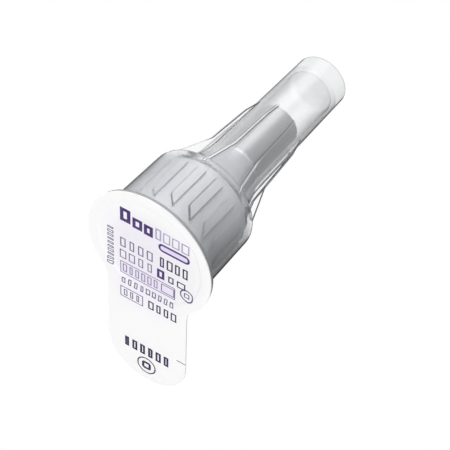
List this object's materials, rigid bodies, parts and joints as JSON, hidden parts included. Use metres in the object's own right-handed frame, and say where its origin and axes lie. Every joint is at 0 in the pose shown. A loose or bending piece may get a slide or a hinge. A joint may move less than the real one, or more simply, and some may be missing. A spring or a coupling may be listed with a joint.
{
  "type": "pen needle",
  "caption": "Sealed pen needle: clear finned outer cap closed by a paper peel seal, over a threaded hub, an inner shield and a fine steel cannula.",
  "frame": {"origin": "centre of the peel seal's underside, the flat face it stands on", "axes": "+Z along the needle, from the seal to the closed tip; the seal's tongue points along -Y"},
  "size_m": [0.0156, 0.0282, 0.0336],
  "materials": {
    "clear_plastic": "clear, glossy moulding",
    "seal_paper": "white coated paper laminate, printed in violet",
    "hub_plastic": "grey, slightly translucent, glossy",
    "shield_plastic": "grey, glossy",
    "cannula_steel": "bright drawn steel",
    "adhesive": "clear cured adhesive"
  },
  "bodies": {
    "root": {"outer_cap": "clear_plastic", "peel_seal": "seal_paper", "needle_hub": "hub_plastic", "needle_shield": "shield_plastic", "cannula": "cannula_steel", "adhesive_bead": "adhesive"}
  },
  "joints": []
}
